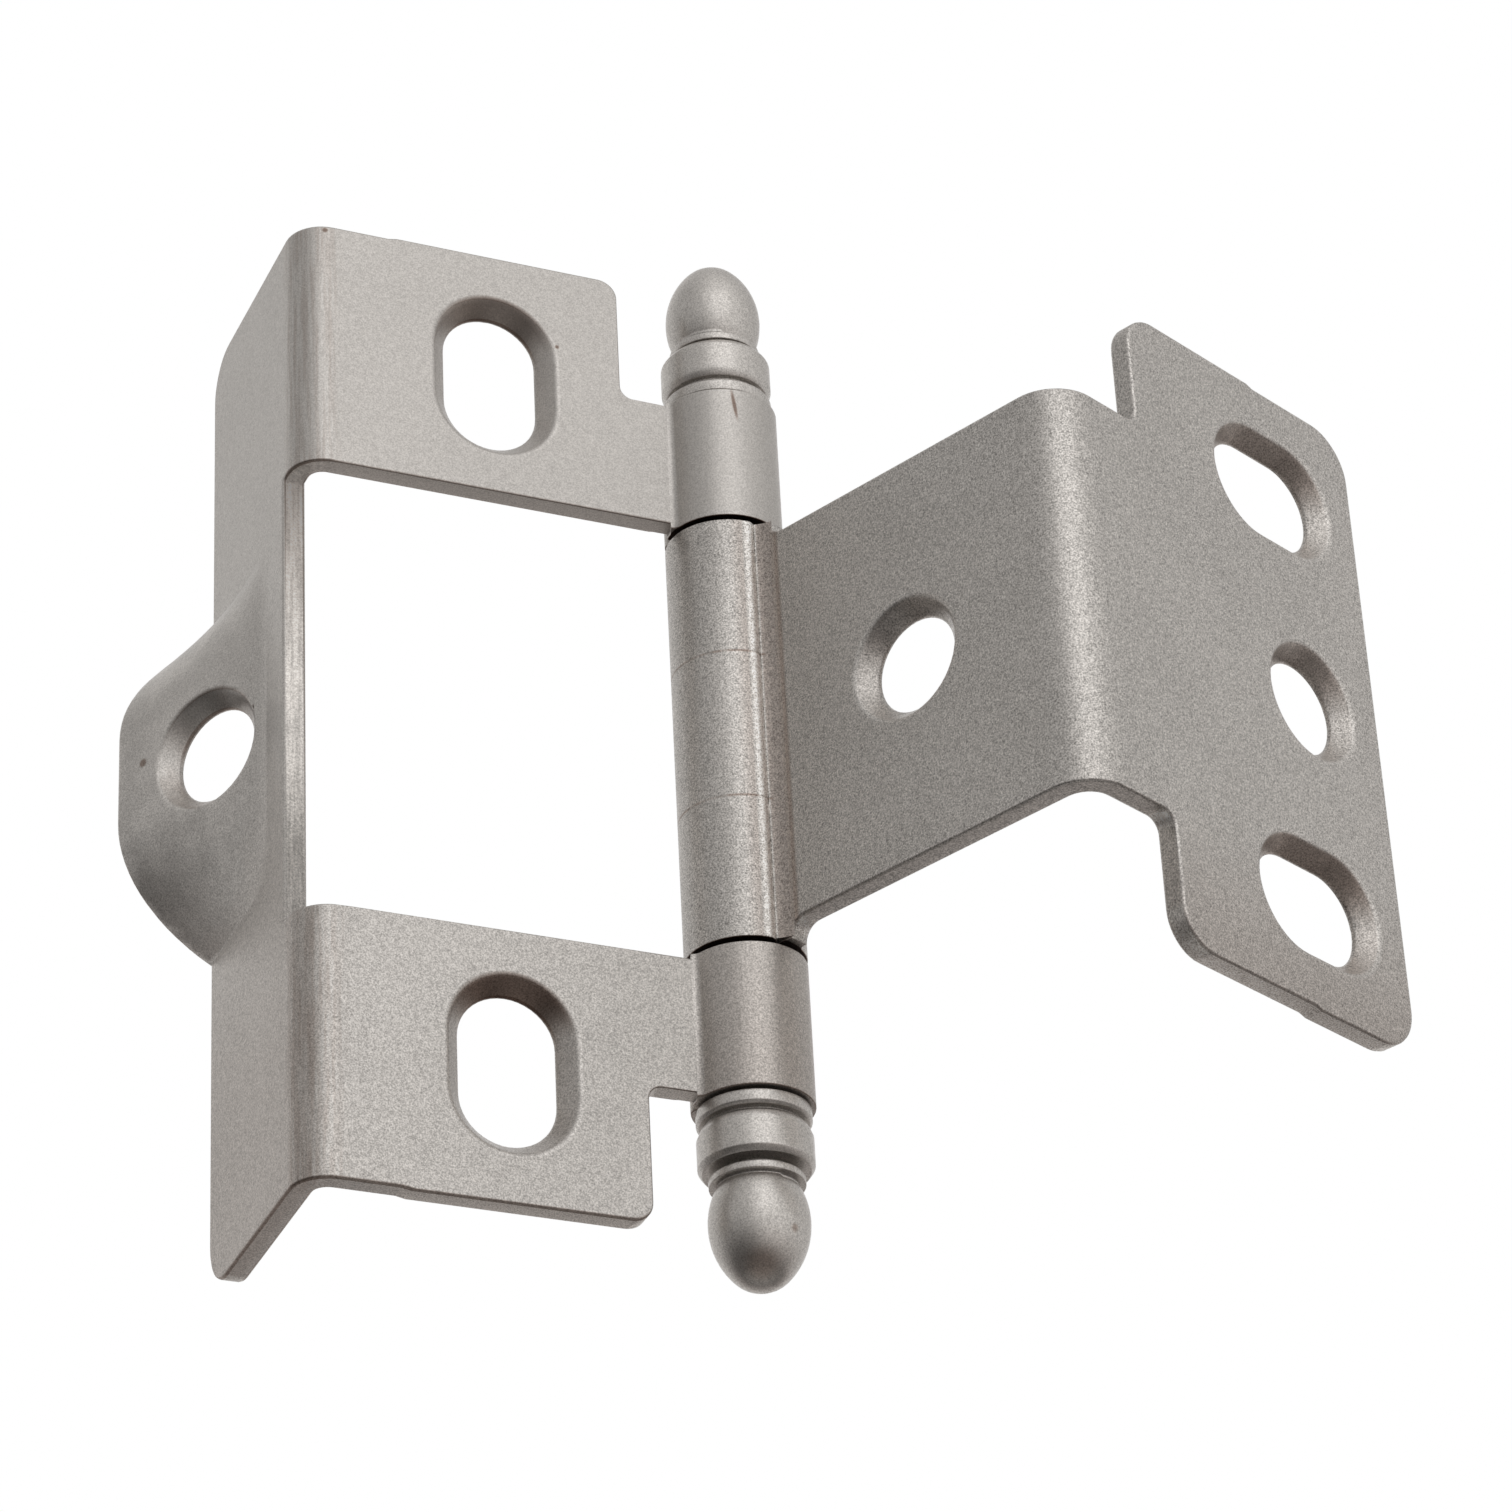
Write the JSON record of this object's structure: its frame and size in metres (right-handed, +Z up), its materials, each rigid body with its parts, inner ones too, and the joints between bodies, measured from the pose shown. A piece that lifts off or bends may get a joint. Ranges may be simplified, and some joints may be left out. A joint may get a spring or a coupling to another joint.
{
  "type": "inset cabinet hinge",
  "caption": "Full wrap inset cabinet hinge in satin nickel, with folded leaves, rolled knuckles, a pin with ball finials, countersunk screw slots and an angled ear.",
  "frame": {"origin": "middle of the frame leaf's two screw slots, on the plate face that meets the cabinet frame", "axes": "+Z up along the hinge pin; +X from the frame leaf's flange towards the barrel and the cabinet front; -Y is the way the frame leaf's screw heads face, and +Y goes into the frame wood"},
  "size_m": [0.0611, 0.0356, 0.0616],
  "materials": {
    "frame_leaf_nickel": "satin nickel",
    "door_leaf_nickel": "satin nickel",
    "pin_steel": "plain steel",
    "finial_nickel": "satin nickel"
  },
  "bodies": {
    "frame_side": {"frame_leaf": "frame_leaf_nickel", "hinge_pin": "pin_steel", "upper_finial": "finial_nickel", "lower_finial": "finial_nickel"},
    "door_side": {"door_leaf": "door_leaf_nickel"}
  },
  "joints": [
    {"name": "door_swing", "type": "hinge", "parent": "frame_side", "child": "door_side", "pos_m": [0.0131, -0.00043, 0], "axis": [0, 0, 1], "range_deg": [-113.8, 66.2]}
  ]
}
